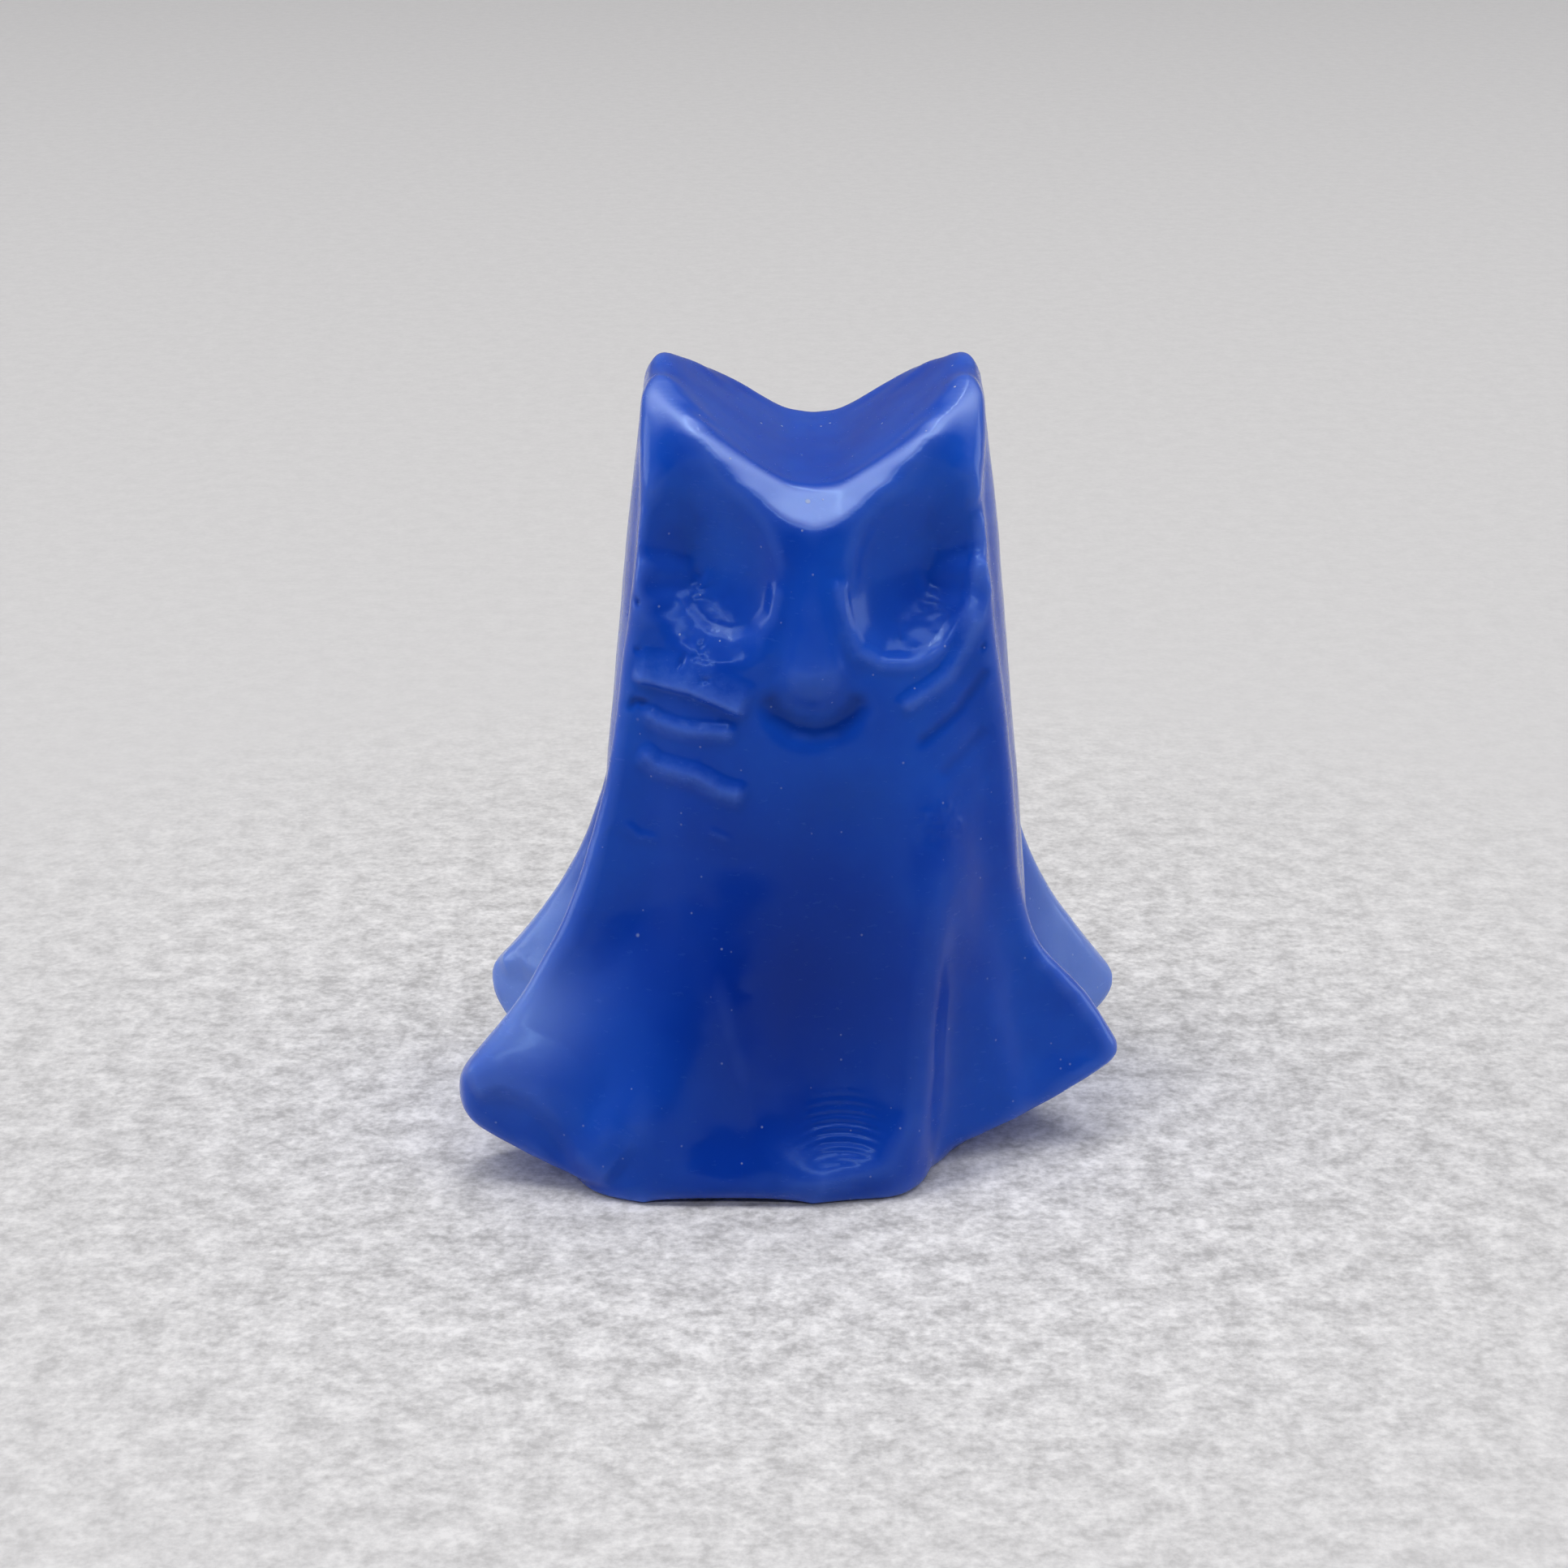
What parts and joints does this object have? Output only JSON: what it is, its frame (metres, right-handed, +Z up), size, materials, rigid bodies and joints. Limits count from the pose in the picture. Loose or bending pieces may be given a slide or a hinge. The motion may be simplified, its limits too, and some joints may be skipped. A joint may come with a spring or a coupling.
{
  "type": "ghost game pawn",
  "caption": "Small moulded ghost figure: draped body with pointed ears, hollow eyes and a flared skirt hem lifted at its corners, on a flat base.",
  "frame": {"origin": "on the resting face, below the middle of the figure's outline box", "axes": "+Z up towards the ears, -Y the way the face looks, +X to the viewer's right when facing the figure"},
  "size_m": [0.0218, 0.0154, 0.0254],
  "materials": {
    "body": "glossy, slightly see-through blue moulding"
  },
  "bodies": {
    "root": {"ghost_figure": "body"}
  },
  "joints": []
}
